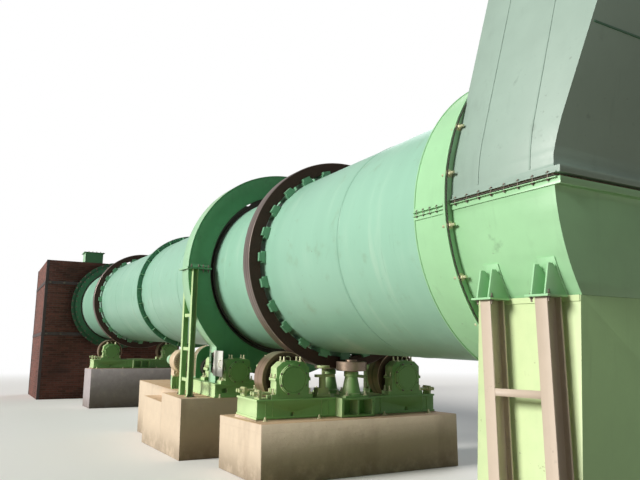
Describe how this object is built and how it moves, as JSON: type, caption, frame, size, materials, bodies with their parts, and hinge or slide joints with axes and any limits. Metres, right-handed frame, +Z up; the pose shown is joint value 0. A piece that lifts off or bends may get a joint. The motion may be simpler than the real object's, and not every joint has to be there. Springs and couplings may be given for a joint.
{
  "type": "rotary drum dryer",
  "caption": "Sloping rotary drum dryer on tyres and rollers, with girth gear drive, brick firing head, split discharge hood and chute.",
  "frame": {"origin": "on the floor under the middle of the discharge tyre, in the drum's vertical plane, on the foot of that tyre's pier", "axes": "+X level toward the discharge hood, +Y across the machine away from the drive, +Z up"},
  "size_m": [25.6361, 4.84, 5.261],
  "materials": {
    "green_paint": "satin",
    "cream_paint": "satin",
    "white_paint": "satin",
    "beige_paint": "satin",
    "tyre_steel": "rolled bright rim, rusted sides",
    "roller_steel": "rolled bright rim",
    "gear_steel": "greased",
    "worn_steel": "worn",
    "bolt_steel": "plain",
    "dark_steel": "rusty",
    "concrete": "cast and weathered",
    "brick": "laid brick",
    "packing": "matt"
  },
  "bodies": {
    "structure": {"belt_guard": "green_paint", "burner_neck": "dark_steel", "casing_door": "white_paint", "coupling_shroud": "green_paint", "discharge_chute": "green_paint", "discharge_seal": "green_paint", "drive_base": "green_paint", "drive_pier": "concrete", "exhaust_duct": "green_paint", "feed_chute": "green_paint", "firing_head": "brick", "float_indicator": "bolt_steel", "gear_guard_lower": "green_paint", "gear_guard_upper": "green_paint", "guard_legs": "green_paint", "head_steel": "dark_steel", "hood_brackets": "green_paint", "hood_columns": "beige_paint", "hood_gasket": "packing", "hood_lower": "green_paint", "hood_upper": "green_paint", "inlet_seal": "green_paint", "motor": "cream_paint", "motor_stool": "green_paint", "pinion_bearings": "green_paint", "reducer": "green_paint", "roller_adjusters": "bolt_steel", "roller_bearings": "green_paint", "station_bases": "green_paint", "station_piers": "concrete", "thrust_pedestals": "green_paint"},
    "drum": {"drum_shell": "green_paint", "tyres": "tyre_steel", "tyre_pads": "green_paint", "shell_flange": "green_paint", "girth_gear": "gear_steel", "seal_rings": "worn_steel", "lifting_flights": "worn_steel"},
    "pinion_shaft": {"pinion": "gear_steel"},
    "roller_discharge_near_body": {"roller_discharge_near": "roller_steel"},
    "roller_discharge_far_body": {"roller_discharge_far": "roller_steel"},
    "roller_inlet_near_body": {"roller_inlet_near": "roller_steel"},
    "roller_inlet_far_body": {"roller_inlet_far": "roller_steel"},
    "thrust_roller_discharge_body": {"thrust_roller_discharge": "roller_steel"},
    "thrust_roller_gear_body": {"thrust_roller_gear": "roller_steel"}
  },
  "joints": [
    {"name": "drum_turn", "type": "hinge", "parent": "structure", "child": "drum", "pos_m": [0, 0, 2.68], "axis": [0.9994, 0, -0.035], "continuous": true},
    {"name": "roller_discharge_near_turn", "type": "hinge", "parent": "structure", "child": "roller_discharge_near_body", "pos_m": [-0.05319, -0.86026, 1.16042], "axis": [0.9994, 0, -0.035], "continuous": true},
    {"name": "roller_discharge_far_turn", "type": "hinge", "parent": "structure", "child": "roller_discharge_far_body", "pos_m": [-0.05319, 0.86026, 1.16042], "axis": [0.9994, 0, -0.035], "continuous": true},
    {"name": "roller_inlet_near_turn", "type": "hinge", "parent": "structure", "child": "roller_inlet_near_body", "pos_m": [-12.04584, -0.86026, 1.58016], "axis": [0.9994, 0, -0.035], "continuous": true},
    {"name": "roller_inlet_far_turn", "type": "hinge", "parent": "structure", "child": "roller_inlet_far_body", "pos_m": [-12.04584, 0.86026, 1.58016], "axis": [0.9994, 0, -0.035], "continuous": true},
    {"name": "thrust_roller_discharge_turn", "type": "hinge", "parent": "structure", "child": "thrust_roller_discharge_body", "pos_m": [0.24947, 0, 1.36547], "axis": [0.035, 0, 0.9994], "continuous": true},
    {"name": "thrust_roller_gear_turn", "type": "hinge", "parent": "structure", "child": "thrust_roller_gear_body", "pos_m": [-0.34077, 0, 1.38613], "axis": [0.035, 0, 0.9994], "continuous": true},
    {"name": "pinion_turn", "type": "hinge", "parent": "structure", "child": "pinion_shaft", "pos_m": [-1.96223, -0.89568, 1.22109], "axis": [0.9994, 0, -0.035], "continuous": true}
  ],
  "couplings": [
    {"joint": "roller_discharge_near_turn", "follows": "drum_turn", "ratio": -4.2659},
    {"joint": "roller_discharge_far_turn", "follows": "drum_turn", "ratio": -4.2659},
    {"joint": "roller_inlet_near_turn", "follows": "drum_turn", "ratio": -4.2659},
    {"joint": "roller_inlet_far_turn", "follows": "drum_turn", "ratio": -4.2659},
    {"joint": "thrust_roller_discharge_turn", "follows": "drum_turn", "ratio": -6.8},
    {"joint": "thrust_roller_gear_turn", "follows": "drum_turn", "ratio": 6.8},
    {"joint": "pinion_turn", "follows": "drum_turn", "ratio": -7.4286}
  ]
}
